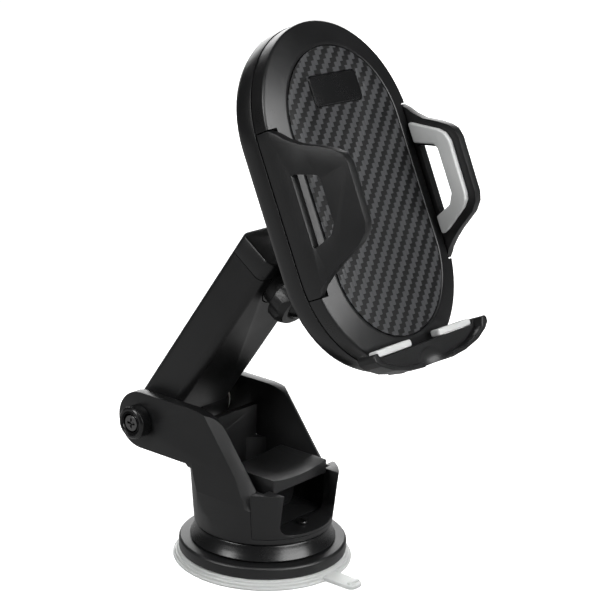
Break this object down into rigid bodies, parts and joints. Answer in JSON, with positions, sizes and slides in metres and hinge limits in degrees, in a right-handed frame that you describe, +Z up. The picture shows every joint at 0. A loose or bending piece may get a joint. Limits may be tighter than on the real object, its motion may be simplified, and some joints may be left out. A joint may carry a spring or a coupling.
{
  "type": "car phone mount",
  "caption": "Suction-base car phone mount: locking lever, folding telescopic arm, ball joint and a rounded cradle with sliding side grips and a foot.",
  "frame": {"origin": "centre of the suction cup's underside, on the surface it is stuck to", "axes": "+Z up from the dashboard; the phone faces -Y, towards the viewer; +X is the viewer's right, along the arm's hinge"},
  "size_m": [0.0752, 0.1263, 0.1992],
  "materials": {
    "black_abs": "fine moulded texture, matt",
    "satin_black": "semi-gloss moulded",
    "clear_gel": "translucent soft gel",
    "grey_rubber": "soft matt rubber",
    "carbon_weave": "twill pattern film",
    "steel": "plated steel",
    "acetal": "natural moulded acetal"
  },
  "bodies": {
    "base": {"suction_cup": "clear_gel", "base_disc": "black_abs", "neck_ring": "satin_black", "housing": "black_abs", "front_collar": "black_abs", "floor_screw_left": "steel", "floor_screw_right": "steel", "collar_screw": "steel", "hinge_cap_left": "satin_black", "hinge_cap_right": "satin_black", "hinge_bolt": "steel", "hinge_nut": "steel", "friction_washer_left": "acetal", "friction_washer_right": "acetal"},
    "stem": {"suction_stem": "acetal", "lever_pin": "steel"},
    "lever": {"suction_lever": "black_abs"},
    "arm": {"arm_shell": "black_abs"},
    "bar": {"inner_bar": "black_abs", "arm_head": "black_abs", "head_screw_left": "steel", "head_screw_right": "steel"},
    "nut": {"ball_nut": "black_abs"},
    "seat": {"ball_seat": "acetal"},
    "ball": {"ball_stem": "satin_black", "ball_stem_screw": "steel"},
    "cradle": {"rear_shell": "black_abs", "front_shell": "black_abs", "carbon_inlay": "carbon_weave", "label_pad": "satin_black", "cradle_screw_upper_left": "steel", "cradle_screw_upper_right": "steel", "cradle_screw_lower_left": "steel", "cradle_screw_lower_right": "steel", "pinion_screw": "steel"},
    "grip_l": {"grip_left": "black_abs", "grip_pad_left": "grey_rubber"},
    "grip_r": {"grip_right": "black_abs", "grip_pad_right": "grey_rubber"},
    "gear": {"pinion": "acetal"},
    "release": {"release_slider": "satin_black"},
    "foot": {"foot": "black_abs", "foot_pad_left": "grey_rubber", "foot_pad_right": "grey_rubber"}
  },
  "joints": [
    {"name": "stem_lift", "type": "slide", "parent": "base", "child": "stem", "axis": [0, 0, 1], "range_m": [-0.0025, 0], "deforming": ["suction_cup"]},
    {"name": "lever_turn", "type": "hinge", "parent": "stem", "child": "lever", "pos_m": [0, 0, 0.025], "axis": [1, 0, 0], "range_deg": [-60, 0]},
    {"name": "arm_pitch", "type": "hinge", "parent": "base", "child": "arm", "pos_m": [0, 0.0417, 0.0477], "axis": [1, 0, 0], "range_deg": [-75, 20]},
    {"name": "arm_extend", "type": "slide", "parent": "arm", "child": "bar", "axis": [0, -0.5678, 0.8231], "range_m": [0, 0.042]},
    {"name": "nut_turn", "type": "hinge", "parent": "bar", "child": "nut", "pos_m": [0, -0.01258, 0.10137], "axis": [0, -0.8231, -0.5678], "range_deg": [0, 90]},
    {"name": "ball_pan", "type": "hinge", "parent": "bar", "child": "seat", "pos_m": [0, -0.01258, 0.10137], "axis": [0, -0.8231, -0.5678], "range_deg": [-30, 30]},
    {"name": "ball_tilt", "type": "hinge", "parent": "seat", "child": "ball", "pos_m": [0, -0.01258, 0.10137], "axis": [1, 0, 0], "range_deg": [0, 45]},
    {"name": "cradle_spin", "type": "hinge", "parent": "ball", "child": "cradle", "pos_m": [0, -0.01258, 0.10137], "axis": [0, -0.9986, 0.0523], "range_deg": [-90, 90]},
    {"name": "grip_left_slide", "type": "slide", "parent": "cradle", "child": "grip_l", "axis": [-1, 0, 0], "range_m": [0, 0.014]},
    {"name": "grip_right_slide", "type": "slide", "parent": "cradle", "child": "grip_r", "axis": [1, 0, 0], "range_m": [0, 0.014]},
    {"name": "pinion_spin", "type": "hinge", "parent": "cradle", "child": "gear", "pos_m": [0, -0.03587, 0.14305], "axis": [0, -0.9056, 0.4242], "range_deg": [0, 134]},
    {"name": "release_press", "type": "slide", "parent": "cradle", "child": "release", "axis": [-1, 0, 0], "range_m": [0, 0.001], "stiffness_N_per_m": 1200, "springref_m": -0.001},
    {"name": "foot_slide", "type": "slide", "parent": "cradle", "child": "foot", "axis": [0, -0.4242, -0.9056], "range_m": [0, 0.015]}
  ],
  "couplings": [
    {"joint": "lever_turn", "follows": "stem_lift", "rad_per_m": 418.88},
    {"joint": "grip_right_slide", "follows": "grip_left_slide", "ratio": 1},
    {"joint": "pinion_spin", "follows": "grip_left_slide", "rad_per_m": 166.67}
  ]
}
